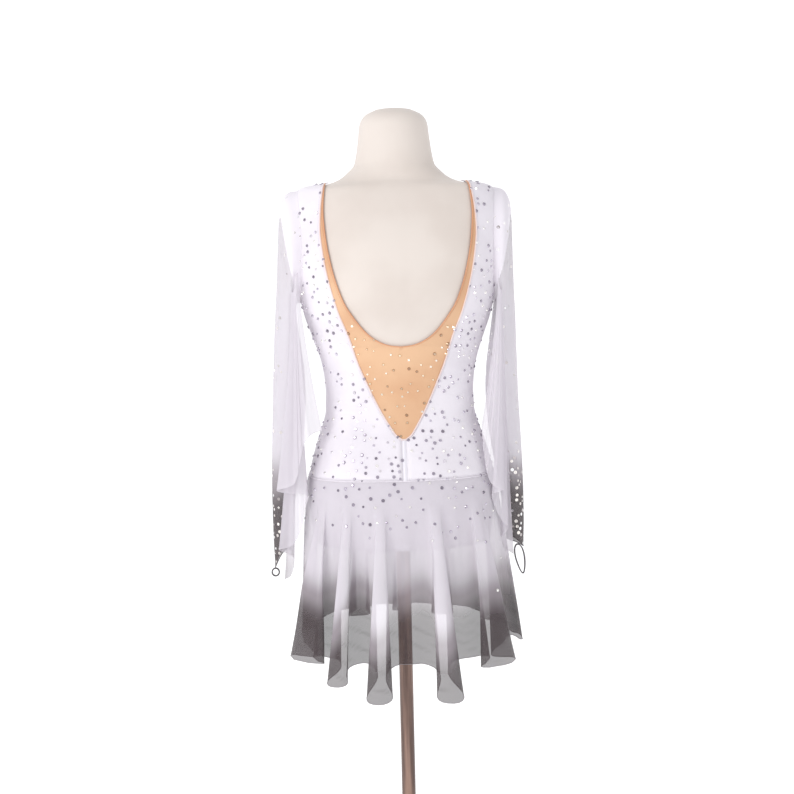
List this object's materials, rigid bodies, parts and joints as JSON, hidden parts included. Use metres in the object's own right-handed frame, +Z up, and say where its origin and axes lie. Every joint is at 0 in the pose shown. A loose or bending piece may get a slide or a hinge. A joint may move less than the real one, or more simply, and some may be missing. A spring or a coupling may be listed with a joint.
{
  "type": "figure skating dress on a dress form",
  "caption": "Long-sleeved figure skating dress with a deep V back, sheer cascading sleeves and a short fluted skirt, on a limbless dress form with a pole and base.",
  "frame": {"origin": "centre of the stand's underside, on the pole's axis", "axes": "+Z up; the dress faces -Y, so its open back faces +Y; +X is the wearer's left"},
  "size_m": [0.4245, 0.3628, 1.263],
  "materials": {
    "form_jersey": "matt cream jersey, pulled smooth over the form",
    "stand_wood": "dark brown stained wood, satin",
    "white_knit": "white stretch knit with a soft sheen",
    "nude_mesh": "skin-tone stretch mesh, matt",
    "zip_tape": "white woven tape over a concealed zip",
    "sheer_sleeve": "sheer white stretch mesh, dyed to dark grey at the cuff",
    "sheer_drape": "sheer white chiffon, dyed to grey at the lowest tier",
    "loop_elastic": "grey elastic",
    "sheer_skirt": "sheer white chiffon, dyed to dark grey at the hem"
  },
  "bodies": {
    "root": {"form_body": "form_jersey", "stand_pole": "stand_wood", "stand_base": "stand_wood", "bodice_front": "white_knit", "bodice_back_left": "white_knit", "bodice_back_right": "white_knit", "back_zip": "zip_tape", "back_inset": "nude_mesh", "sleeve_left": "sheer_sleeve", "sleeve_right": "sheer_sleeve", "sleeve_drape_left": "sheer_drape", "sleeve_drape_right": "sheer_drape", "finger_loop_left": "loop_elastic", "finger_loop_right": "loop_elastic", "skirt_front": "sheer_skirt", "skirt_back": "sheer_skirt", "brief_front": "white_knit", "brief_back": "white_knit", "brief_gusset": "white_knit"}
  },
  "joints": []
}
